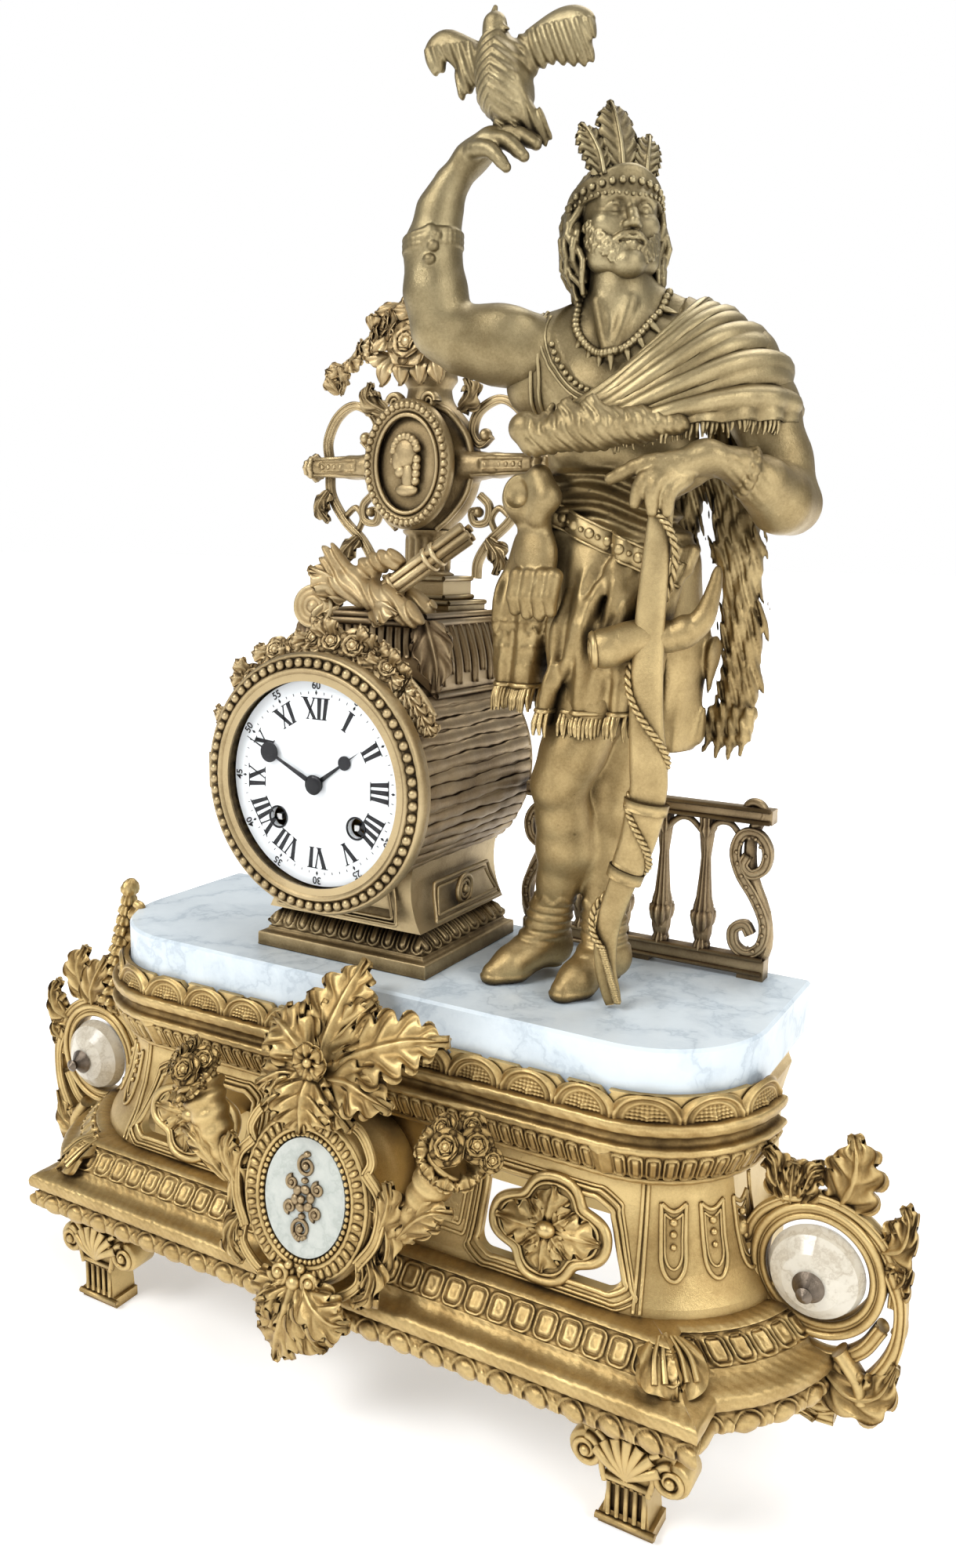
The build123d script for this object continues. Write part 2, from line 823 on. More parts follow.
cap_radius = boss_radius / 3
with BuildPart() as boss_finials:
    for way in (-1, 1):
        tip = boss_front_y - finial_reach
        outline = (
            (shoulder_y + ring_depth, 0),
            (shoulder_y + ring_depth, finial_rod),
            (boss_front_y - seat_gap, finial_rod),
            (boss_front_y - seat_gap, cap_radius),
            (boss_front_y - finial_reach / 4, cap_radius * 2 / 3),
            (boss_front_y - finial_reach / 2, cap_radius / 3),
            (boss_front_y - finial_reach * 3 / 4, cap_radius / 2),
            (tip, 0),
        )
        add(turned(way * ring_x, ring_z, outline))
boss_finials.part.label = "boss_finials"
export_step(boss_finials.part, "parts/boss_finials.step")


# Railing behind the figure
rail_y = 72.0
rail_gap = 1.5
rail_left_x = clock_x + drum_radius + rail_gap
rail_right_x = 148.0
rail_low_z = 190.0
rail_low_height = 6.0
rail_top_z = 257.6
rail_top_height = 6.4
rail_depth = 8.0
baluster_pitch = 20.0
baluster_count = 4
baluster_radius = 5.0
scroll_width = 12.0
rail_scroll_steps = 3
rail_scroll_shares = (
    (-0.4, 0.04, 1),
    (0.1, -0.02, 1),
    (0.46, 0.1, 1),
    (0.34, 0.34, 1),
    (-0.2, 0.6, 1),
    (-0.34, 0.84, 1),
    (-0.1, 1, 1),
    (0.2, 1.06, 0.9),
)
baluster_shares = ((0, 0.5), (0.12, 0.9), (0.3, 1), (0.46, 0.5), (0.62, 0.36), (0.86, 0.7), (1, 0.8))

with BuildPart() as railing:
    length = rail_right_x - rail_left_x
    middle_x = (rail_left_x + rail_right_x) / 2
    add(block(middle_x, rail_y, rail_low_z, length, rail_depth, rail_low_height))
    add(block(middle_x, rail_y, rail_top_z, length, rail_depth, rail_top_height))
    for x in (rail_left_x + scroll_width / 2, middle_x, rail_right_x - scroll_width / 2):
        add(block(x, rail_y, deck_z, scroll_width, rail_depth, rail_low_z - deck_z + rail_low_height / 2))
    clear_low = rail_low_z + rail_low_height
    clear = rail_top_z - clear_low
    for number in range(baluster_count):
        x = middle_x + (number - (baluster_count - 1) / 2) * baluster_pitch
        stations = []
        for height_share, radius_share in baluster_shares:
            radius = radius_share * baluster_radius
            stations.append((x, rail_y, clear_low + height_share * clear, radius, radius))
        add(heap(stations))
    for x, way in ((rail_left_x + scroll_width / 2, -1), (rail_right_x - scroll_width / 2, 1)):
        path = []
        for out_share, rise_share, width_share in rail_scroll_shares:
            radius = width_share * scroll_width / 4
            path.append((x + way * out_share * scroll_width, rail_y, clear_low + rise_share * clear, radius))
        add(limb(eased(path, rail_scroll_steps)))
railing.part.label = "railing"
export_step(railing.part, "parts/railing.step")


# Clock plinth: a slab with a gadroon step
plinth_block_width = 93.4
plinth_block_depth = 82.0
clock_slab_height = 7.0
clock_step_height = 12.2
step_inset = 3.0
pedestal_z = deck_z + clock_slab_height + clock_step_height
step_shares = ((0, 1), (0.25, 0.3), (0.6, 0.5), (0.85, 1.4), (1, 1.2))
sections = []
for height_share, inset_share in step_shares:
    level = deck_z + clock_slab_height + height_share * clock_step_height
    inset = 2 * inset_share * step_inset
    with BuildSketch(Plane(origin=(clock_x, clock_middle_y, level))) as step_plan:
        Rectangle(plinth_block_width - inset, plinth_block_depth - inset)
    sections.append(step_plan.sketch)
with BuildPart() as clock_step:
    loft(sections, ruled=True)
with BuildPart() as clock_plinth:
    add(block(clock_x, clock_middle_y, deck_z, plinth_block_width, plinth_block_depth, clock_slab_height))
    add(clock_step.part)
    for x, y in stud_places:
        with BuildSketch(Plane(origin=(x, y, deck_z))):
            Circle(stud_radius + fit)
        extrude(amount=stud_grip + fit, mode=Mode.SUBTRACT)
clock_plinth.part.label = "clock_plinth"
export_step(clock_plinth.part, "parts/clock_plinth.step")


# Pedestal: concave sides, a sunk panel, and a cradle for the drum
pedestal_half_low = 42.0
pedestal_half_top = 38.0
pedestal_depth = 75.0
pedestal_waist = 3.0
pedestal_front_y = clock_middle_y - pedestal_depth / 2
panel_half = 28.0
panel_sink = 1.5
cradle_z = clock_z - reach_at(drum_radius, pedestal_half_top)
drum_bore = drum_radius - drum_wall
with BuildPart() as clock_pedestal:
    with BuildSketch(facing(clock_x, pedestal_front_y, 0)):
        with BuildLine():
            Line((0, pedestal_z), (pedestal_half_low, pedestal_z))
            foot_point = (pedestal_half_low, pedestal_z)
            shoulder_point = (pedestal_half_top, cradle_z)
            SagittaArc(foot_point, shoulder_point, pedestal_waist)
            Polyline(shoulder_point, (pedestal_half_top, clock_z), (0, clock_z))
            mirror(about=Plane.YZ)
        make_face()
    extrude(amount=-pedestal_depth)
    add(rod(clock_x, clock_z, drum_front_y, drum_back_y, drum_radius + fit), mode=Mode.SUBTRACT)
    panel_low = pedestal_z + panel_sink * 2
    panel_points = (
        (-panel_half, panel_low),
        (panel_half, panel_low),
        (panel_half, pedestal_z + panel_sink * 6),
        (-panel_half, pedestal_z + panel_sink * 6),
    )
    add(slab(facing(clock_x, pedestal_front_y, 0), panel_points, panel_sink), mode=Mode.SUBTRACT)
clock_pedestal.part.label = "clock_pedestal"
export_step(clock_pedestal.part, "parts/clock_pedestal.step")


# Hinges of the front bezel and the rear cover, both on the left
hinge_out = 7.5
hinge_x = clock_x - drum_radius - hinge_out
knuckle_radius = 2.0
pin_radius = 0.9
knuckle_half = 3.5
knuckle_length = 4.2
knuckle_gap = 0.3
bezel_hinge_out = 1.5
cover_hinge_out = 2.0
bezel_hinge_y = drum_front_y - bezel_hinge_out
cover_hinge_y = drum_back_y + cover_hinge_out
bezel_radius = 56.9
cover_radius = 51.0


def knuckle(x, y, z, length):
    """Hinge barrel along Z, solid."""
    with BuildPart() as barrel:
        with BuildSketch(Plane(origin=(x, y, z))):
            Circle(knuckle_radius)
        extrude(amount=length)
    return barrel.part


def pin_hole(x, y):
    """Through bore for a hinge pin."""
    length = 2 * (knuckle_half + knuckle_gap + knuckle_length) + 2 * overrun
    with BuildPart() as bore_cut:
        with BuildSketch(Plane(origin=(x, y, clock_z - length / 2))):
            Circle(pin_radius + fit)
        extrude(amount=length)
    return bore_cut.part


# Drum case: horizontal ridges, an inner lip at each end and the fixed hinge knuckles
ridge_count = 36
ridge_depth = 1.6
lip_depth = 3.0
front_lip_radius = 43.0
back_lip_radius = 47.0
ridge_points = []
for number in range(2 * ridge_count):
    radius = drum_radius - ridge_depth * (number % 2)
    angle = pi * number / ridge_count
    ridge_points.append((radius * cos(angle), radius * sin(angle)))

arm_depth = 4.0
with BuildPart() as drum_case:
    add(slab(facing(clock_x, drum_front_y, clock_z), ridge_points, drum_back_y - drum_front_y))
    bore_front = drum_front_y + lip_depth
    bore_back = drum_back_y - lip_depth
    knuckle_out = knuckle_half + knuckle_gap
    for low in (clock_z + knuckle_out, clock_z - knuckle_out - knuckle_length):
        add(knuckle(hinge_x, bezel_hinge_y, low, knuckle_length))
        add(knuckle(hinge_x, cover_hinge_y, low, knuckle_length))
        arm_length = clock_x - drum_radius + drum_wall - hinge_x
        arm_x = hinge_x + arm_length / 2
        front_arm_y = drum_front_y + arm_depth / 2
        back_arm_y = drum_back_y - arm_depth / 2
        for arm_y in (front_arm_y, back_arm_y):
            add(block(arm_x, arm_y, low, arm_length, arm_depth, knuckle_length))
        cheek_x = hinge_x - knuckle_radius / 2
        front_cheek_y = (bezel_hinge_y + front_arm_y) / 2
        back_cheek_y = (cover_hinge_y + back_arm_y) / 2
        for cheek_y, hinge_y, arm_y in (
            (front_cheek_y, bezel_hinge_y, front_arm_y),
            (back_cheek_y, cover_hinge_y, back_arm_y),
        ):
            add(block(cheek_x, cheek_y, low, knuckle_radius, abs(arm_y - hinge_y), knuckle_length))
    add(rod(clock_x, clock_z, bore_front, bore_back, drum_bore), mode=Mode.SUBTRACT)
    front_end_y = drum_front_y - overrun
    back_end_y = drum_back_y + overrun
    add(rod(clock_x, clock_z, front_end_y, bore_front, front_lip_radius), mode=Mode.SUBTRACT)
    add(rod(clock_x, clock_z, bore_back, back_end_y, back_lip_radius), mode=Mode.SUBTRACT)
    add(pin_hole(hinge_x, bezel_hinge_y), mode=Mode.SUBTRACT)
    add(pin_hole(hinge_x, cover_hinge_y), mode=Mode.SUBTRACT)
drum_case.part.label = "drum_case"
export_step(drum_case.part, "parts/drum_case.step")

with BuildPart() as hinge_pins:
    for y in (bezel_hinge_y, cover_hinge_y):
        pin_length = 2 * (knuckle_half + knuckle_gap + knuckle_length)
        with BuildSketch(Plane(origin=(hinge_x, y, clock_z - pin_length / 2))):
            Circle(pin_radius)
        extrude(amount=pin_length)
hinge_pins.part.label = "hinge_pins"
export_step(hinge_pins.part, "parts/hinge_pins.step")


# Front bezel: a stepped moulding with a rebate for the glass and its hinge knuckle
bezel_back_y = drum_front_y - seat_gap
bezel_front_y = -32.3
bezel_bore = 46.6
bezel_lip_radius = 45.2
glass_thick = 1.2
lip_front_depth = 1.3
glass_front_y = bezel_front_y + lip_front_depth
bezel_profile_shares = ((0, 1), (0.25, 1), (0.55, 0.8), (0.8, 0.55), (1, 0.35))
outline = [(bezel_back_y, bezel_bore)]
for depth_share, radius_share in bezel_profile_shares:
    y = bezel_back_y + depth_share * (bezel_front_y - bezel_back_y)
    outline.append((y, bezel_bore + radius_share * (bezel_radius - bezel_bore)))
outline.append((bezel_front_y, bezel_lip_radius))
outline.append((glass_front_y, bezel_lip_radius))
outline.append((glass_front_y, bezel_bore))
with BuildPart() as front_bezel:
    add(turned(clock_x, clock_z, outline))
    add(knuckle(hinge_x, bezel_hinge_y, clock_z - knuckle_half, 2 * knuckle_half))
    lug_length = clock_x - bezel_radius - hinge_x + knuckle_radius
    lug_x = hinge_x + lug_length / 2
    lug_depth = 2 * (bezel_back_y - bezel_hinge_y)
    add(block(lug_x, bezel_hinge_y, clock_z - knuckle_half, lug_length, lug_depth, 2 * knuckle_half))
    add(pin_hole(hinge_x, bezel_hinge_y), mode=Mode.SUBTRACT)
front_bezel.part.label = "front_bezel"
export_step(front_bezel.part, "parts/front_bezel.step")

with BuildPart() as bezel_glass:
    add(rod(clock_x, clock_z, glass_front_y, glass_front_y + glass_thick, bezel_bore - fit))
bezel_glass.part.label = "bezel_glass"
export_step(bezel_glass.part, "parts/bezel_glass.step")


# Rear cover: a shallow dished disc with a knob
cover_thick = 2.4
cover_dish = 3.0
cover_y = drum_back_y + seat_gap
knob_radius = 4.0
with BuildPart() as back_cover:
    outline = (
        (cover_y, 0),
        (cover_y, cover_radius),
        (cover_y + cover_thick, cover_radius),
        (cover_y + cover_thick, cover_radius * 3 / 4),
        (cover_y + cover_dish, cover_radius * 2 / 3),
        (cover_y + cover_dish, 0),
    )
    add(turned(clock_x, clock_z, outline))
    knob_x = clock_x + cover_radius * 5 / 6
    add(rod(knob_x, clock_z, cover_y + cover_thick, cover_y + cover_thick + knob_radius, knob_radius))
    add(knuckle(hinge_x, cover_hinge_y, clock_z - knuckle_half, 2 * knuckle_half))
    lug_length = clock_x - cover_radius - hinge_x + knuckle_radius
    lug_x = hinge_x + lug_length / 2
    lug_depth = cover_thick / 2
    lug_y = cover_y + cover_thick - lug_depth / 2
    add(block(lug_x, lug_y, clock_z - knuckle_half, lug_length, lug_depth, 2 * knuckle_half))
    add(pin_hole(hinge_x, cover_hinge_y), mode=Mode.SUBTRACT)
back_cover.part.label = "back_cover"
export_step(back_cover.part, "parts/back_cover.step")


# Enamel dial with its centre and winding holes
dial_radius = 45.5
dial_thick = 2.5
dial_front_y = drum_front_y - dial_thick
wind_x = 21.0
wind_z = -17.0
wind_hole = 4.3
pipe_radius = 2.5
arbor_radius = 1.5
with BuildPart() as dial:
    add(rod(clock_x, clock_z, dial_front_y, drum_front_y, dial_radius))
    add(rod(clock_x, clock_z, dial_front_y, drum_front_y, pipe_radius + seat_gap), mode=Mode.SUBTRACT)
    for way in (-1, 1):
        hole_x = clock_x + way * wind_x
        add(rod(hole_x, clock_z + wind_z, dial_front_y, drum_front_y, wind_hole), mode=Mode.SUBTRACT)
dial.part.label = "dial"
export_step(dial.part, "parts/dial.step")


# Movement: two round plates on pillars, with the wheels between and in front of them
plate_radius = 40.0
plate_thick = 2.0
front_plate_y = -14.0
back_plate_y = 22.0
inner_y = front_plate_y + plate_thick
pillar_radius = 3.0
pillar_ring = 36.0
pillar_turns = (-90, 20, 57, 123, 160)
dial_foot_ring = 37.0
dial_foot_turns = (90, -24, 204)
dial_foot_radius = 2.0

# Wheel train, all on named tooth counts
barrel_module = 0.5
barrel_teeth = 78
second_pinion_teeth = 12
train_module = 0.4
second_teeth = 60
centre_pinion_teeth = 10
motion_distance = 14.4
cannon_teeth = 12
minute_teeth = 36
minute_pinion_teeth = 10
hour_teeth = 40
escape_teeth = 30
wheel_thick = 1.5
pinion_thick = 2.8
small_arbor = 1.0
winding_arbor = 1.8
minute_stud_length = 7.0
wheel_gap = 0.6
cannon_out = 3.5
second_wheel_out = 6.0
going_wheel_in = 1.5
strike_wheel_out = 3.5

barrel_radius = barrel_module * barrel_teeth / 2
barrel_span = hypot(wind_x, wind_z)
second_to_barrel = barrel_module * (barrel_teeth + second_pinion_teeth) / 2
second_to_centre = train_module * (second_teeth + centre_pinion_teeth) / 2
along = (second_to_centre**2 - second_to_barrel**2 + barrel_span**2) / (2 * barrel_span)
aside = sqrt(second_to_centre**2 - along**2)
second_x = (along * wind_x - aside * wind_z) / barrel_span
second_z = (along * wind_z + aside * wind_x) / barrel_span
cannon_module = 2 * motion_distance / (cannon_teeth + minute_teeth)
hour_module = 2 * motion_distance / (minute_pinion_teeth + hour_teeth)
escape_z = 19.0
escape_radius = 9.0
anchor_z = 33.0

# A tooth as turn share and height above the pitch circle in modules
tooth_shares = ((0.12, -1.15), (0.36, 0.75), (0.64, 0.75), (0.88, -1.15))


def gear(u, v, front, width, teeth, module, bore, facing_angle):
    """Wheel with straight-flanked teeth. A tooth stands on the facing angle."""
    points = []
    for number in range(teeth):
        for turn_share, height_share in tooth_shares:
            angle = radians(facing_angle) + 2 * pi * (number + turn_share - 0.5) / teeth
            radius = module * (teeth / 2 + height_share)
            points.append((radius * cos(angle), radius * sin(angle)))
    plane = facing(clock_x + u, front, clock_z + v)
    with BuildPart() as wheel:
        add(slab(plane, points, width))
        if bore > 0:
            with BuildSketch(plane):
                Circle(bore)
            extrude(amount=-width, mode=Mode.SUBTRACT)
    return wheel.part


pivots = {
    "centre": (0, 0, arbor_radius),
    "second": (second_x, second_z, small_arbor),
    "escape": (0, escape_z, small_arbor),
    "anchor": (0, anchor_z, small_arbor),
    "going": (wind_x, wind_z, winding_arbor),
    "strike": (-wind_x, wind_z, winding_arbor),
}
hammer_shares = (-0.925, -0.35)
hammer_x = clock_x + hammer_shares[0] * plate_radius
hammer_z = clock_z + hammer_shares[1] * plate_radius

with BuildPart() as front_plate:
    add(rod(clock_x, clock_z, front_plate_y, inner_y, plate_radius))
    for u, v, radius in pivots.values():
        add(rod(clock_x + u, clock_z + v, front_plate_y, inner_y, radius + fit), mode=Mode.SUBTRACT)
    for turn in dial_foot_turns:
        x = clock_x + dial_foot_ring * cos(radians(turn))
        z = clock_z + dial_foot_ring * sin(radians(turn))
        add(rod(x, z, drum_front_y, front_plate_y, dial_foot_radius))
    stud_z = clock_z + motion_distance
    add(rod(clock_x, stud_z, front_plate_y - minute_stud_length, front_plate_y, small_arbor))
front_plate.part.label = "front_plate"
export_step(front_plate.part, "parts/front_plate.step")

with BuildPart() as plate_pillars:
    for turn in pillar_turns:
        x = clock_x + pillar_ring * cos(radians(turn))
        z = clock_z + pillar_ring * sin(radians(turn))
        add(rod(x, z, inner_y, back_plate_y, pillar_radius))
plate_pillars.part.label = "plate_pillars"
export_step(plate_pillars.part, "parts/plate_pillars.step")

# Straps that clamp the movement between the lips of the drum
strap_thick = 3.0
strap_half = 4.0
strap_lap = 1.2
tab_depth = 2.0
with BuildPart() as movement_straps:
    for way in (-1, 1):
        length = bore_back - bore_front
        x = clock_x + way * (back_lip_radius + strap_lap - strap_thick / 2)
        middle_y = (bore_front + bore_back) / 2
        add(block(x, middle_y, clock_z - strap_half, strap_thick, length, 2 * strap_half))
        tab_in = plate_radius - strap_thick
        tab_out = back_lip_radius + strap_lap - strap_thick / 2
        tab_x = clock_x + way * (tab_in + tab_out) / 2
        tab_y = inner_y + tab_depth / 2
        add(block(tab_x, tab_y, clock_z - strap_half, tab_out - tab_in, tab_depth, 2 * strap_half))
movement_straps.part.label = "movement_straps"
export_step(movement_straps.part, "parts/movement_straps.step")

# Centre arbor with its pinion and the cannon pinion that turns the motion work
hand_gap = 0.5
hand_thick = 0.6
hour_hand_y = dial_front_y - hand_gap - hand_thick
minute_hand_y = hour_hand_y - hand_gap - hand_thick
cannon_y = front_plate_y - cannon_out
second_wheel_y = back_plate_y - second_wheel_out
toward_second = degrees(atan2(second_z, second_x))
with BuildPart() as centre_arbor:
    add(rod(clock_x, clock_z, minute_hand_y - hand_gap, back_plate_y + plate_thick, arbor_radius))
    add(gear(0, 0, cannon_y, pinion_thick, cannon_teeth, cannon_module, 0, 90))
    pinion_y = second_wheel_y - (pinion_thick - wheel_thick) / 2
    add(gear(0, 0, pinion_y, pinion_thick, centre_pinion_teeth, train_module, 0, toward_second))
centre_arbor.part.label = "centre_arbor"
export_step(centre_arbor.part, "parts/centre_arbor.step")

toward_barrel = degrees(atan2(wind_z - second_z, wind_x - second_x))
half_tooth = 180 / second_teeth
going_wheel_y = inner_y + going_wheel_in
with BuildPart() as second_wheel:
    x = clock_x + second_x
    z = clock_z + second_z
    add(rod(x, z, front_plate_y, back_plate_y + plate_thick, small_arbor))
    facing_angle = toward_second + 180 + half_tooth
    add(gear(second_x, second_z, second_wheel_y, wheel_thick, second_teeth, train_module, 0, facing_angle))
    pinion_y = going_wheel_y - (pinion_thick - wheel_thick) / 2
    add(gear(second_x, second_z, pinion_y, pinion_thick, second_pinion_teeth, barrel_module, 0, toward_barrel))
second_wheel.part.label = "second_wheel"
export_step(second_wheel.part, "parts/second_wheel.step")

# Spring barrels on their winding arbors
barrel_drum_radius = 17.3
barrel_drum_depth = 23.0
winding_tip_y = dial_front_y + hand_gap
half_tooth = 180 / barrel_teeth
strike_wheel_y = back_plate_y - strike_wheel_out
with BuildPart() as going_barrel:
    facing_angle = toward_barrel + 180 + half_tooth
    bore = winding_arbor + fit
    add(gear(wind_x, wind_z, going_wheel_y, wheel_thick, barrel_teeth, barrel_module, bore, facing_angle))
    x = clock_x + wind_x
    z = clock_z + wind_z
    drum_y = going_wheel_y + wheel_thick
    add(tube(x, z, drum_y, drum_y + barrel_drum_depth, barrel_drum_radius, bore))
going_barrel.part.label = "going_barrel"
export_step(going_barrel.part, "parts/going_barrel.step")

with BuildPart() as strike_barrel:
    x = clock_x - wind_x
    z = clock_z + wind_z
    add(tube(x, z, strike_wheel_y - barrel_drum_depth, strike_wheel_y, barrel_drum_radius, bore))
    add(tube(x, z, strike_wheel_y, strike_wheel_y + wheel_thick, barrel_radius, bore))
strike_barrel.part.label = "strike_barrel"
export_step(strike_barrel.part, "parts/strike_barrel.step")

for name, way in (("going_arbor", 1), ("strike_arbor", -1)):
    x = clock_x + way * wind_x
    z = clock_z + wind_z
    square = winding_arbor * sqrt(2)
    with BuildPart() as winder:
        square_length = front_plate_y - hand_gap - winding_tip_y
        square_y = winding_tip_y + square_length / 2
        add(block(x, square_y, z - square / 2, square, square_length, square))
        add(rod(x, z, front_plate_y - hand_gap, back_plate_y + plate_thick, winding_arbor))
    winder.part.label = name
    export_step(winder.part, f"parts/{name}.step")

# Motion work: minute wheel on its stud, hour wheel with its pipe
hour_wheel_y = cannon_y - wheel_thick - wheel_gap
minute_wheel_y = cannon_y + (pinion_thick - wheel_thick) / 2
minute_pinion_y = hour_wheel_y - (pinion_thick - wheel_thick) / 2
with BuildPart() as minute_wheel:
    bore = small_arbor + fit
    facing_angle = -90 + 180 / minute_teeth
    depth = minute_wheel_y - minute_pinion_y
    rise = motion_distance
    add(gear(0, rise, minute_wheel_y, wheel_thick, minute_teeth, cannon_module, bore, facing_angle))
    add(gear(0, rise, minute_pinion_y, depth, minute_pinion_teeth, hour_module, bore, -90))
minute_wheel.part.label = "minute_wheel"
export_step(minute_wheel.part, "parts/minute_wheel.step")

with BuildPart() as hour_wheel:
    bore = arbor_radius + fit
    facing_angle = 90 + 180 / hour_teeth
    add(gear(0, 0, hour_wheel_y, wheel_thick, hour_teeth, hour_module, bore, facing_angle))
    add(tube(clock_x, clock_z, hour_hand_y + hand_thick, hour_wheel_y, pipe_radius, bore))
hour_wheel.part.label = "hour_wheel"
export_step(hour_wheel.part, "parts/hour_wheel.step")

# Hands: pierced pear shapes, set at ten minutes to two
minute_length = 41.0
hour_length = 28.0
minute_angle = 296.0
hour_angle = 54.7
hand_root_half = 1.2
hand_hub = 3.6


def hand_shape(front, length, angle, bore):
    """Flat hand with a hub, a tapered stem, a pear and a point."""
    plane = facing(clock_x, front, clock_z)
    tilt = radians(90 - angle)
    pear_out = length * 2 / 3
    pear_radius = length / 9
    with BuildPart() as hand:
        with BuildSketch(plane):
            Circle(hand_hub)
            stem = []
            for out, side in ((0, hand_root_half), (length, 0), (0, -hand_root_half)):
                stem.append((out * cos(tilt) - side * sin(tilt), out * sin(tilt) + side * cos(tilt)))
            with BuildLine():
                Polyline(*stem, close=True)
            make_face()
            with Locations((pear_out * cos(tilt), pear_out * sin(tilt))):
                Circle(pear_radius)
            Circle(bore, mode=Mode.SUBTRACT)
        extrude(amount=-hand_thick)
    return hand


hour_hand = hand_shape(hour_hand_y, hour_length, hour_angle, arbor_radius + fit)
hour_hand.part.label = "hour_hand"
export_step(hour_hand.part, "parts/hour_hand.step")
minute_hand = hand_shape(minute_hand_y, minute_length, minute_angle, arbor_radius)
minute_hand.part.label = "minute_hand"
export_step(minute_hand.part, "parts/minute_hand.step")

# Escape wheel with pointed teeth
escape_y = 8.0
tooth_depth = 1.6
tooth_lead_share = 0.6
points = []
for number in range(escape_teeth):
    angle = 2 * pi * number / escape_teeth
    lead = angle + 2 * pi * tooth_lead_share / escape_teeth
    low = escape_radius - tooth_depth
    points.append((escape_radius * cos(angle), escape_radius * sin(angle)))
    points.append((low * cos(lead), low * sin(lead)))
with BuildPart() as escape_wheel:
    add(slab(facing(clock_x, escape_y, clock_z + escape_z), points, wheel_thick))
    add(rod(clock_x, clock_z + escape_z, front_plate_y, back_plate_y + plate_thick, small_arbor))
escape_wheel.part.label = "escape_wheel"
export_step(escape_wheel.part, "parts/escape_wheel.step")

# Pallet anchor over the escape wheel, with its crutch behind the back plate
crutch_gap = 0.8
crutch_y = back_plate_y + plate_thick + crutch_gap
crutch_length = 14.0
crutch_reach = 6.2
pendulum_y = crutch_y + crutch_reach
rod_radius = 1.2
crutch_pin = 0.5
anchor_gap = 1.7
anchor_reach = escape_radius + anchor_gap
with BuildPart() as pallet_anchor:
    x = clock_x
    z = clock_z + anchor_z
    add(rod(x, z, front_plate_y, crutch_y + wheel_thick, small_arbor))
    drop = anchor_z - escape_z
    tip_u = anchor_reach * sin(pi / 4)
    tip_v = anchor_reach * cos(pi / 4) - drop
    outline = (
        (0, small_arbor * 2),
        (-tip_u - wheel_thick, tip_v + wheel_thick),
        (-tip_u, tip_v),
        (-tip_u + wheel_thick, tip_v + 2 * wheel_thick),
        (0, -small_arbor * 2),
        (tip_u - wheel_thick, tip_v + 2 * wheel_thick),
        (tip_u, tip_v),
        (tip_u + wheel_thick, tip_v + wheel_thick),
    )
    add(slab(facing(x, escape_y, z), outline, wheel_thick))
    add(rod(x, z, crutch_y, crutch_y + wheel_thick, small_arbor * 2))
    arm_z = z - crutch_length
    add(block(x, crutch_y + wheel_thick / 2, arm_z, small_arbor * 2, wheel_thick, crutch_length))
    pin_x = x + rod_radius + crutch_pin + fit
    fork_y = crutch_y + wheel_thick / 2
    add(block(pin_x - crutch_pin, fork_y, arm_z, 2 * rod_radius, wheel_thick, 2 * rod_radius))
    add(rod(pin_x, arm_z + rod_radius, crutch_y, pendulum_y + rod_radius, crutch_pin))
pallet_anchor.part.label = "pallet_anchor"
export_step(pallet_anchor.part, "parts/pallet_anchor.step")

# Pendulum on a pin in the suspension cock
pendulum_length = 60.0
bob_radius = 10.0
bob_thick = 5.0
hub_radius = 2.6
hub_half = 2.0
pin = 0.8
with BuildPart() as pendulum:
    z = clock_z + anchor_z
    add(tube(clock_x, z, pendulum_y - hub_half, pendulum_y + hub_half, hub_radius, pin + fit))
    bob_z = z - pendulum_length
    with BuildSketch(Plane(origin=(clock_x, pendulum_y, bob_z))):
        Circle(rod_radius)
    extrude(amount=pendulum_length - hub_radius + fit)
    add(rod(clock_x, bob_z, pendulum_y - bob_thick / 2, pendulum_y + bob_thick / 2, bob_radius))
pendulum.part.label = "pendulum"
export_step(pendulum.part, "parts/pendulum.step")

cheek_thick = 1.5
cheek_gap = 0.3
cock_gap = 1.0
cock_z = clock_z + anchor_z + hub_radius + cock_gap
cock_height = 3.0
cock_half = 4.0
with BuildPart() as suspension_cock:
    low = back_plate_y + plate_thick
    high = pendulum_y + hub_half + cheek_gap + cheek_thick
    add(block(clock_x, (low + high) / 2, cock_z, 2 * cock_half, high - low, cock_height))
    for y in (pendulum_y - hub_half - cheek_gap - cheek_thick, pendulum_y + hub_half + cheek_gap):
        z = clock_z + anchor_z - 2 * pin
        add(block(clock_x, y + cheek_thick / 2, z, 4 * pin, cheek_thick, cock_z - z))
    pin_front = pendulum_y - hub_half - cheek_gap - cheek_thick
    add(rod(clock_x, clock_z + anchor_z, pin_front, high, pin))

# Bell on its bracket, and the hammer beside it
bell_radius = 29.0
bell_front_y = 44.0
bell_depth = 15.0
bell_wall = 1.4
bell_profile_shares = ((0, 1), (0.35, 0.93), (0.7, 0.72), (0.92, 0.42), (1, 0.12))
bracket_u = 36.5
bracket_radius = 2.0
bell_seat = 4.0
bracket_back_y = bell_front_y + bell_depth + bell_seat
outline = []
for depth_share, radius_share in bell_profile_shares:
    outline.append((bell_front_y + depth_share * bell_depth, radius_share * bell_radius))
for depth_share, radius_share in reversed(bell_profile_shares):
    inner = max(radius_share * bell_radius - bell_wall, bracket_radius + fit)
    outline.append((bell_front_y + depth_share * (bell_depth - bell_wall), inner))
with BuildPart() as bell:
    add(turned(clock_x, clock_z, outline))
bell.part.label = "bell"
export_step(bell.part, "parts/bell.step")

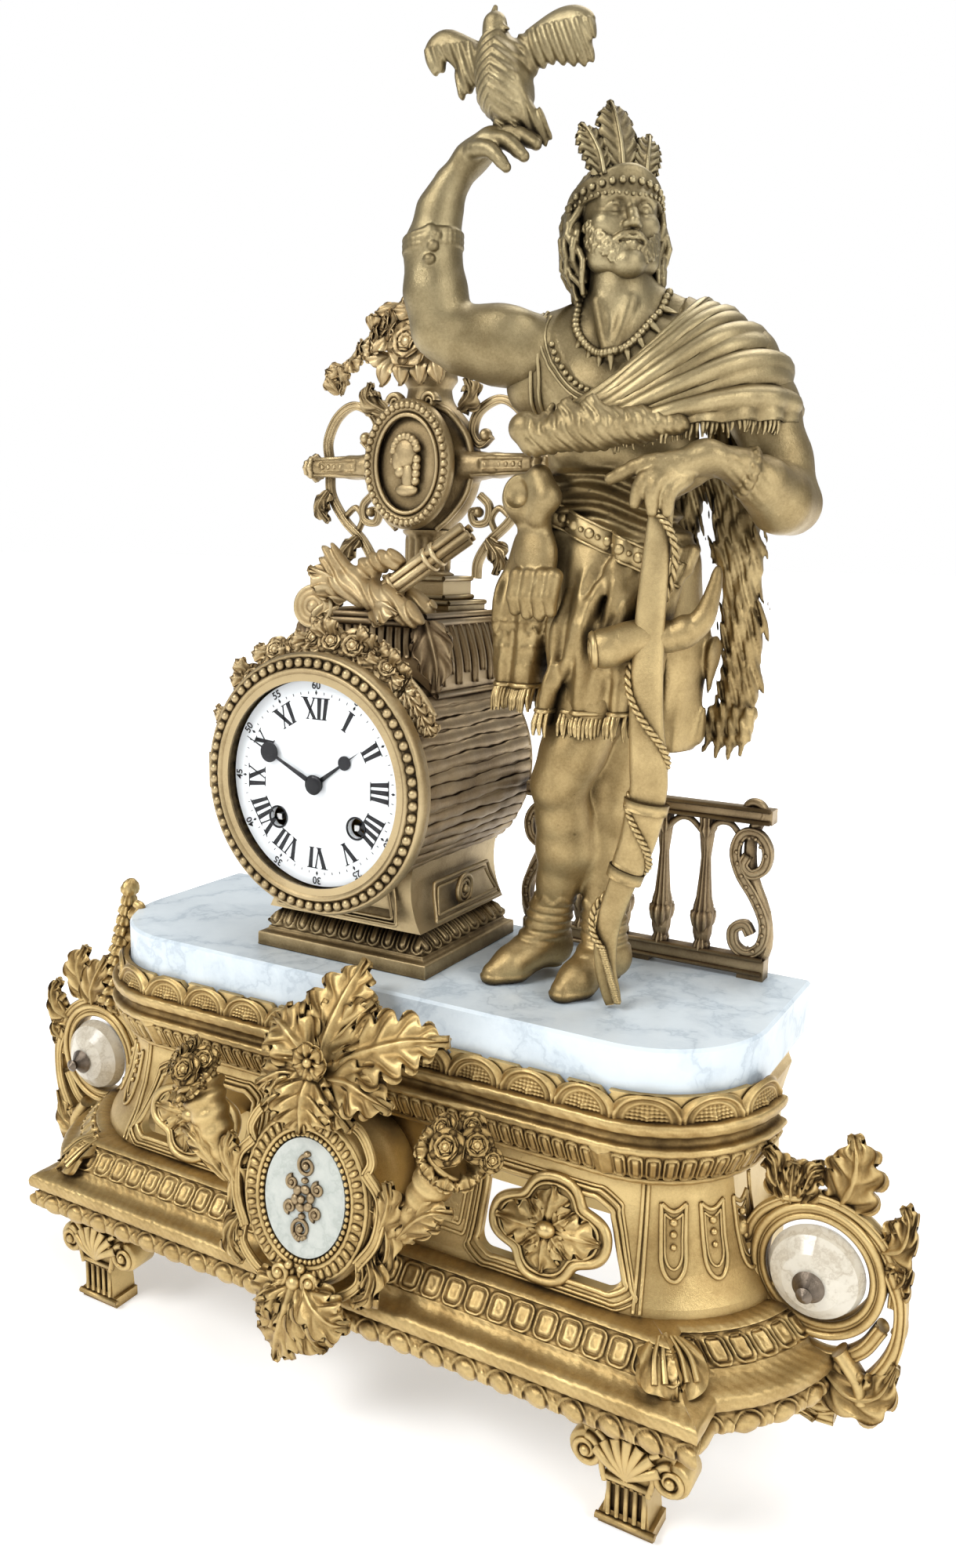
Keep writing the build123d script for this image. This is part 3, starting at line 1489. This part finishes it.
with BuildPart() as bell_bracket:
    x = clock_x + bracket_u
    add(rod(x, clock_z, back_plate_y + plate_thick, bracket_back_y, bracket_radius))
    span = bracket_u + 2 * bracket_radius
    bar_x = clock_x + bracket_u / 2
    bar_depth_y = 2 * bracket_radius
    bar_z = clock_z - bracket_radius
    add(block(bar_x, bracket_back_y - bracket_radius, bar_z, span, bar_depth_y, 2 * bracket_radius))
    stud_y = bell_front_y + bell_depth - 2 * bell_wall
    add(rod(clock_x, clock_z, stud_y, bracket_back_y, bracket_radius))

# Back plate, in one piece with the suspension cock and the bell bracket
with BuildPart() as back_plate:
    add(rod(clock_x, clock_z, back_plate_y, back_plate_y + plate_thick, plate_radius))
    add(suspension_cock.part)
    add(bell_bracket.part)
    for u, v, radius in pivots.values():
        x = clock_x + u
        z = clock_z + v
        add(rod(x, z, back_plate_y, back_plate_y + plate_thick, radius + fit), mode=Mode.SUBTRACT)
    hole_radius = small_arbor + fit
    add(rod(hammer_x, hammer_z, back_plate_y, back_plate_y + plate_thick, hole_radius), mode=Mode.SUBTRACT)
back_plate.part.label = "back_plate"
export_step(back_plate.part, "parts/back_plate.step")

hammer_in = 2.0
hammer_y = bell_front_y + hammer_in
head_radius = 3.4
head_rise = 22.0
with BuildPart() as hammer:
    head_z = hammer_z + head_rise
    add(rod(hammer_x, hammer_z, back_plate_y, hammer_y + small_arbor, small_arbor))
    add(block(hammer_x, hammer_y, hammer_z, 2 * small_arbor, 2 * small_arbor, head_rise))
    add(rod(hammer_x, head_z, hammer_y - head_radius, hammer_y + head_radius, head_radius))
hammer.part.label = "hammer"
export_step(hammer.part, "parts/hammer.step")


# Saddle block on top of the drum
block_front_y = 10.0
block_back_y = 69.0
block_half_top = 31.5
block_half_low = 37.0
block_top_z = 342.0
block_bulge = 2.5
block_low_z = clock_z + reach_at(drum_radius, block_half_low)
with BuildPart() as saddle_block:
    with BuildSketch(facing(clock_x, block_front_y, 0)):
        with BuildLine():
            Line((0, clock_z), (block_half_low, clock_z))
            Line((block_half_low, clock_z), (block_half_low, block_low_z))
            low_point = (block_half_low, block_low_z)
            top_point = (block_half_top, block_top_z)
            SagittaArc(low_point, top_point, -block_bulge)
            Line(top_point, (0, block_top_z))
            mirror(about=Plane.YZ)
        make_face()
    extrude(amount=block_front_y - block_back_y)
    add(rod(clock_x, clock_z, drum_front_y, drum_back_y, drum_radius + fit), mode=Mode.SUBTRACT)
    below_z = clock_z - overrun
    below = block(clock_x, clock_middle_y, below_z, 4 * drum_radius, 4 * drum_radius, drum_radius / 2)
    add(below, mode=Mode.SUBTRACT)
saddle_block.part.label = "saddle_block"
export_step(saddle_block.part, "parts/saddle_block.step")


# Garland that lies over the front edge of the drum
garland_y = -15.0
garland_radius = 6.0
garland_start = 158.0
garland_end = 32.0
garland_steps = 8
garland_tail_share = 0.45
garland_ring = drum_radius + garland_radius + seat_gap
path = []
for number in range(garland_steps + 1):
    share = number / garland_steps
    angle = radians(garland_start + share * (garland_end - garland_start))
    swell_share = garland_tail_share + (1 - garland_tail_share) * sin(pi * share)
    x = clock_x + garland_ring * cos(angle)
    z = clock_z + garland_ring * sin(angle)
    path.append((x, garland_y, z, swell_share * garland_radius))
bloom_shares = ((-0.5, 0.6), (0, 1), (0.5, 0.6))
with BuildPart() as garland:
    add(limb(path))
    for x, y, z, radius in path[1::2]:
        bloom = []
        for rise_share, width_share in bloom_shares:
            size = width_share * (radius + garland_radius) / 2
            bloom.append((x, y, z + rise_share * 2 * garland_radius, size, size))
        add(heap(bloom))
garland.part.label = "garland"
export_step(garland.part, "parts/garland.step")


# Trophy on the block: a round target, a quiver and a scroll
trophy_y = 24.0
quiver_radius = 5.0
target_radius = 11.0
target_thick = 3.0
quiver_shares = ((-0.76, 1, 1), (0.13, 1, 1), (0.76, 1.8, 0.5))
with BuildPart() as trophy:
    low = block_top_z
    stations = []
    for out_share, rise_share, radius_share in quiver_shares:
        x = clock_x + out_share * block_half_top
        z = low + rise_share * quiver_radius
        stations.append((x, trophy_y, z, radius_share * quiver_radius))
    add(limb(stations))
    target_x = clock_x - block_half_top + target_radius / 2
    target_z = block_top_z + target_radius / 4
    target_back_y = block_front_y - seat_gap
    add(rod(target_x, target_z, target_back_y - target_thick, target_back_y, target_radius))
    mound = (
        (clock_x, trophy_y, low, block_half_top * 2 / 3, quiver_radius * 2),
        (clock_x, trophy_y, low + quiver_radius, block_half_top / 2, quiver_radius),
    )
    add(heap(mound))
trophy.part.label = "trophy"
export_step(trophy.part, "parts/trophy.step")


# Vase on its stepped stand, with scroll arms and roses
vase_x = -23.0
vase_y = 57.0
stand_half = 22.0
stand_depth = 34.0
stand_step_height = 7.0
stand_height = 18.0
column_radius = 9.5
column_height = 21.0
vase_radius = 23.0
vase_height = 64.0
vase_deep_share = 0.85
arm_half = 64.0
arm_radius = 3.0
arm_rise = 30.0
bouquet_height = 46.0
vase_profile_shares = (
    (0, 0.4),
    (0.12, 0.62),
    (0.3, 0.95),
    (0.47, 1),
    (0.68, 0.86),
    (0.84, 0.5),
    (0.92, 0.36),
    (1, 0.52),
)
column_z = block_top_z + stand_height
vase_z = column_z + column_height
arm_z = vase_z + arm_rise
rose_z = vase_z + vase_height
with BuildPart() as vase_stand:
    add(block(vase_x, vase_y, block_top_z, 2 * stand_half, stand_depth, stand_step_height))
    step_width = 2 * stand_half * 3 / 4
    add(block(vase_x, vase_y, block_top_z, step_width, stand_depth * 3 / 4, stand_height))
    flutes = []
    for number in range(2 * limb_sides):
        radius = column_radius - flute_depth * (number % 2)
        angle = pi * number / limb_sides
        flutes.append((radius * cos(angle), radius * sin(angle)))
    extrude(polygon(Plane(origin=(vase_x, vase_y, column_z)), flutes), amount=column_height)
vase_stand.part.label = "vase_stand"
export_step(vase_stand.part, "parts/vase_stand.step")

sections = []
for height_share, radius_share in vase_profile_shares:
    across = radius_share * vase_radius
    z = vase_z + height_share * vase_height
    sections.append((vase_x, vase_y, z, across, across * vase_deep_share))
arm_steps = 3
arm_path_shares = (
    ((0.3, 0, 1.1), (0.62, 0.03, 1), (1, 0, 0.8)),
    ((0.3, 0.3, 1), (0.42, 0.72, 1), (0.56, 0.95, 1), (0.7, 0.82, 1), (0.75, 0.45, 0.9), (0.72, 0.06, 0.8)),
    ((0.72, -0.06, 0.8), (0.76, -0.4, 0.9), (0.66, -0.8, 1), (0.5, -1, 1), (0.36, -1.2, 0.9)),
    ((0.3, -0.4, 0.9), (0.4, -0.62, 0.9), (0.5, -0.5, 0.8), (0.5, -0.96, 0.8)),
)
with BuildPart() as vase_body:
    add(heap(sections))
    for way in (-1, 1):
        for stations in arm_path_shares:
            path = []
            for u, v, width_share in stations:
                x = vase_x + way * u * arm_half
                path.append((x, vase_y, arm_z + v * arm_rise, width_share * arm_radius))
            add(limb(eased(path, arm_steps)))
        knob_x = vase_x + way * arm_half
        add(rod(knob_x, arm_z, vase_y - arm_radius, vase_y + arm_radius, 2 * arm_radius))
vase_body.part.label = "vase_body"
export_step(vase_body.part, "parts/vase_body.step")

bouquet_shares = ((0, 0.5), (0.14, 1), (0.32, 1.1), (0.5, 0.8), (0.7, 0.5), (0.88, 0.34), (1, 0.1))
sections = []
for height_share, radius_share in bouquet_shares:
    radius = radius_share * vase_radius / 2
    z = rose_z + height_share * bouquet_height
    sections.append((vase_x - height_share * column_radius / 2, vase_y, z, radius, radius))
bloom_place_shares = ((-0.9, 0.2), (0, 0.3), (0.9, 0.2), (-0.5, 0.62), (0.5, 0.62))
with BuildPart() as vase_bouquet:
    add(heap(sections))
    for across_share, height_share in bloom_place_shares:
        bloom = []
        for rise_share, width_share in bloom_shares:
            size = width_share * vase_radius / 3
            x = vase_x + across_share * vase_radius * 2 / 3
            z = rose_z + height_share * bouquet_height + rise_share * vase_radius / 2
            bloom.append((x, vase_y - vase_radius / 3, z, size, size))
        add(heap(bloom))
vase_bouquet.part.label = "vase_bouquet"
export_step(vase_bouquet.part, "parts/vase_bouquet.step")


# Figure: standing with crossed legs, in a belted tunic. The tables give places and sizes as
# shares of the height from the deck to the brow, from the figure's own upright axis.
figure_x = 77.0
figure_y = 29.0
brow_height = 320.0
tunic_shares = (
    (0.037, 0.006, 0.353, 0.103, 0.069),
    (0.019, 0.003, 0.422, 0.094, 0.062),
    (0, 0, 0.506, 0.078, 0.056),
    (0, 0, 0.6, 0.059, 0.045),
    (0.019, -0.006, 0.694, 0.072, 0.05),
    (0.031, -0.006, 0.769, 0.084, 0.05),
    (0.037, -0.003, 0.819, 0.097, 0.044),
    (0.028, 0, 0.856, 0.044, 0.031),
    (0.016, 0, 0.887, 0.028, 0.027),
)
left_leg_shares = (
    (-0.009, 0, 0.406, 0.047),
    (-0.006, -0.025, 0.3, 0.034),
    (-0.041, 0, 0.206, 0.036),
    (-0.056, 0.006, 0.106, 0.022),
    (-0.059, 0, 0.037, 0.025),
)
right_leg_shares = (
    (0.031, 0.013, 0.406, 0.047),
    (0.013, 0.022, 0.263, 0.033),
    (0.025, 0, 0.175, 0.033),
    (0.031, -0.025, 0.094, 0.022),
    (0.028, -0.025, 0.037, 0.025),
)
kilt_panel_shares = (
    (-0.084, -0.037, 0.384, 0.038, 0.03),
    (-0.084, -0.031, 0.45, 0.041, 0.032),
    (-0.078, -0.025, 0.53, 0.041, 0.037),
    (-0.062, -0.019, 0.6, 0.034, 0.034),
)
thigh_panel_shares = (
    (0.025, -0.031, 0.356, 0.056, 0.053),
    (0.022, -0.028, 0.45, 0.062, 0.059),
    (0.019, -0.019, 0.55, 0.066, 0.059),
    (0.019, 0, 0.6, 0.059, 0.05),
)
skin_roll_shares = (
    (-0.038, -0.103, 0.709, 0.016),
    (-0.016, -0.094, 0.719, 0.028),
    (0.022, -0.078, 0.728, 0.037),
    (0.066, -0.066, 0.731, 0.034),
    (0.116, -0.047, 0.731, 0.028),
)
hip_knot_shares = (
    (-0.05, -0.062, 0.684, 0.014),
    (-0.059, -0.062, 0.65, 0.03),
    (-0.053, -0.062, 0.612, 0.022),
    (-0.038, -0.072, 0.569, 0.028),
    (-0.034, -0.078, 0.516, 0.024),
)
horn_form_shares = (
    (0.062, -0.097, 0.466, 0.026),
    (0.078, -0.075, 0.475, 0.025),
    (0.106, -0.056, 0.484, 0.018),
    (0.131, -0.053, 0.489, 0.014),
    (0.172, -0.056, 0.506, 0.012),
    (0.188, -0.059, 0.556, 0.005),
)
left_shoe_shares = ((-0.059, 0.016), (-0.084, -0.072))
right_shoe_shares = ((0.031, -0.013), (0.022, -0.081))
shoe_half_width = 9.0
shoe_height = 16.0
shoe_form_shares = ((0, 1, 0), (0.4, 1, 0), (1, 0.55, 0.28))


def figure_point(shares):
    """Place on the figure, from its own axis and the deck."""
    x = figure_x + shares[0] * brow_height
    y = figure_y + shares[1] * brow_height
    return (x, y, deck_z + shares[2] * brow_height)


def figure_stations(table):
    """Places on the figure with the sizes that follow them in the table."""
    stations = []
    for shares in table:
        sizes = [share * brow_height for share in shares[3:]]
        stations.append((*figure_point(shares), *sizes))
    return stations


def shoe(shares):
    """Soft shoe from its heel to its toe, flat on the deck."""
    heel_x, heel_y, low = figure_point((*shares[0], 0))
    toe_x, toe_y, low = figure_point((*shares[1], 0))
    swing = Vector(toe_x - heel_x, toe_y - heel_y, 0)
    rings = []
    for rise_share, size_share, back_share in shoe_form_shares:
        x = (heel_x + toe_x) / 2 - back_share * swing.X
        y = (heel_y + toe_y) / 2 - back_share * swing.Y
        plane = Plane(origin=(x, y, low + rise_share * shoe_height), x_dir=swing)
        half_length = (swing.length / 2 + shoe_half_width) * size_share
        rings.append(oval(plane, half_length, shoe_half_width * (1 + size_share) / 2))
    with BuildPart() as form:
        loft(rings, ruled=True)
    return form.part


with BuildPart() as figure_body:
    add(heap(figure_stations(tunic_shares)))
    add(limb(figure_stations(left_leg_shares)))
    add(limb(figure_stations(right_leg_shares)))
    add(shoe(left_shoe_shares))
    add(shoe(right_shoe_shares))
    add(heap(figure_stations(kilt_panel_shares)))
    add(heap(figure_stations(thigh_panel_shares)))
    add(limb(figure_stations(skin_roll_shares)))
    add(limb(figure_stations(hip_knot_shares)))
    add(limb(figure_stations(horn_form_shares)))
figure_body.part.label = "figure_body"
export_step(figure_body.part, "parts/figure_body.step")

# Head with long hair, a beard and a feathered band
head_shares = (
    (0.016, 0, 0.887, 0.028, 0.027),
    (0.016, 0.003, 0.9, 0.044, 0.041),
    (0.013, 0.003, 0.938, 0.047, 0.047),
    (0.013, 0.003, 0.981, 0.048, 0.05),
    (0.009, 0.003, 1.031, 0.047, 0.048),
    (0.006, 0.003, 1.056, 0.045, 0.044),
    (0.006, 0.006, 1.081, 0.03, 0.03),
)
plume_shares = (
    ((0.006, -0.022, 1.047, 0.014, 0.01), (-0.006, -0.019, 1.081, 0.02, 0.009), (-0.025, -0.009, 1.131, 0.006, 0.005)),
    ((-0.012, -0.028, 1.047, 0.01, 0.008), (-0.034, -0.025, 1.075, 0.013, 0.007), (-0.047, -0.019, 1.103, 0.004, 0.004)),
    ((0.022, -0.019, 1.047, 0.01, 0.008), (0.031, -0.012, 1.075, 0.013, 0.007), (0.031, 0, 1.1, 0.004, 0.004)),
)
with BuildPart() as figure_head:
    add(heap(figure_stations(head_shares)))
    for plume in plume_shares:
        add(heap(figure_stations(plume)))
figure_head.part.label = "figure_head"
export_step(figure_head.part, "parts/figure_head.step")

# Raised arm and resting arm
raised_arm_shares = (
    (-0.053, -0.009, 0.825, 0.031),
    (-0.109, -0.047, 0.847, 0.03),
    (-0.172, -0.078, 0.85, 0.027),
    (-0.197, -0.091, 0.881, 0.025),
    (-0.2, -0.094, 0.956, 0.023),
    (-0.166, -0.094, 1.031, 0.017),
    (-0.119, -0.084, 1.072, 0.016),
    (-0.094, -0.081, 1.078, 0.009),
)
raised_finger_shares = (
    ((-0.119, -0.075, 1.075, 0.012), (-0.09, -0.075, 1.087, 0.009), (-0.059, -0.081, 1.072, 0.007)),
    ((-0.119, -0.1, 1.066, 0.012), (-0.09, -0.106, 1.062, 0.009), (-0.066, -0.109, 1.037, 0.007)),
)
resting_arm_shares = (
    (0.119, 0.013, 0.819, 0.031),
    (0.184, 0.037, 0.806, 0.034),
    (0.225, 0.05, 0.725, 0.031),
    (0.25, 0.053, 0.65, 0.027),
    (0.231, 0.006, 0.65, 0.025),
    (0.188, -0.056, 0.678, 0.019),
    (0.138, -0.103, 0.675, 0.016),
)
with BuildPart() as raised_arm:
    add(limb(figure_stations(raised_arm_shares)))
    for finger in raised_finger_shares:
        add(limb(figure_stations(finger)))
    add(figure_body.part, mode=Mode.SUBTRACT)
raised_arm.part.label = "raised_arm"
export_step(raised_arm.part, "parts/raised_arm.step")

with BuildPart() as resting_arm:
    add(limb(figure_stations(resting_arm_shares)))
    add(figure_body.part, mode=Mode.SUBTRACT)
resting_arm.part.label = "resting_arm"
export_step(resting_arm.part, "parts/resting_arm.step")

# Cloak and hide that hang behind the figure
cloak_shares = (
    (0.1, 0.069, 0.353, 0.081, 0.019),
    (0.1, 0.069, 0.438, 0.084, 0.022),
    (0.106, 0.066, 0.531, 0.078, 0.025),
    (0.113, 0.059, 0.669, 0.094, 0.031),
    (0.103, 0.053, 0.75, 0.119, 0.037),
    (0.075, 0.044, 0.819, 0.106, 0.031),
    (0.05, 0.037, 0.863, 0.05, 0.019),
)
shoulder_drape_shares = (
    (0.059, -0.072, 0.756, 0.025),
    (0.119, -0.034, 0.787, 0.037),
    (0.181, 0.025, 0.803, 0.045),
    (0.172, 0.075, 0.794, 0.044),
    (0.1, 0.094, 0.787, 0.037),
)
with BuildPart() as cloak:
    add(heap(figure_stations(cloak_shares)))
    add(limb(figure_stations(shoulder_drape_shares)))
    add(figure_body.part, mode=Mode.SUBTRACT)
    add(figure_head.part, mode=Mode.SUBTRACT)
    add(resting_arm.part, mode=Mode.SUBTRACT)
cloak.part.label = "cloak"
export_step(cloak.part, "parts/cloak.step")

# Long bow that stands on the deck under the resting hand
bow_shares = (
    (0.077, -0.081, 0.002, 0.011),
    (0.081, -0.084, 0.044, 0.009),
    (0.094, -0.087, 0.141, 0.009),
    (0.127, -0.103, 0.306, 0.01),
    (0.122, -0.103, 0.45, 0.009),
    (0.128, -0.103, 0.644, 0.008),
)
bow_foot = 7.0
with BuildPart() as bow:
    add(limb(figure_stations(bow_shares)))
    x, y, z = figure_point(bow_shares[0])
    add(heap(((x, y, deck_z, bow_foot, bow_foot), (x, y, z + bow_foot, bow_foot / 2, bow_foot / 2))))
    below = block(x, y, deck_z - 2 * overrun, 8 * overrun, 8 * overrun, 2 * overrun)
    add(below, mode=Mode.SUBTRACT)
    add(resting_arm.part, mode=Mode.SUBTRACT)
bow.part.label = "bow"
export_step(bow.part, "parts/bow.step")

# Bird on the raised hand, wings spread
bird_shares = (
    (-0.097, -0.075, 1.078, 0.006),
    (-0.1, -0.072, 1.113, 0.016),
    (-0.106, -0.072, 1.15, 0.02),
    (-0.116, -0.072, 1.188, 0.016),
    (-0.125, -0.072, 1.216, 0.013),
    (-0.134, -0.072, 1.236, 0.006),
)
wing_left_share = -0.19
wing_right_share = -0.016
wing_rise = 18.0
wing_width = 14.0
wing_thick = 3.0
with BuildPart() as bird:
    add(limb(figure_stations(bird_shares)))
    root_x, root_y, root_z = figure_point(bird_shares[2])
    for tip_share in (wing_left_share, wing_right_share):
        tip_x = figure_x + tip_share * brow_height
        wing_outline = (
            (root_x, root_z - wing_width / 2),
            (tip_x, root_z + wing_rise - wing_width),
            (tip_x, root_z + wing_rise),
            (root_x, root_z + wing_width / 2),
        )
        add(slab(facing(0, root_y - wing_thick / 2, 0), wing_outline, wing_thick))
    add(raised_arm.part, mode=Mode.SUBTRACT)
bird.part.label = "bird"
export_step(bird.part, "parts/bird.step")
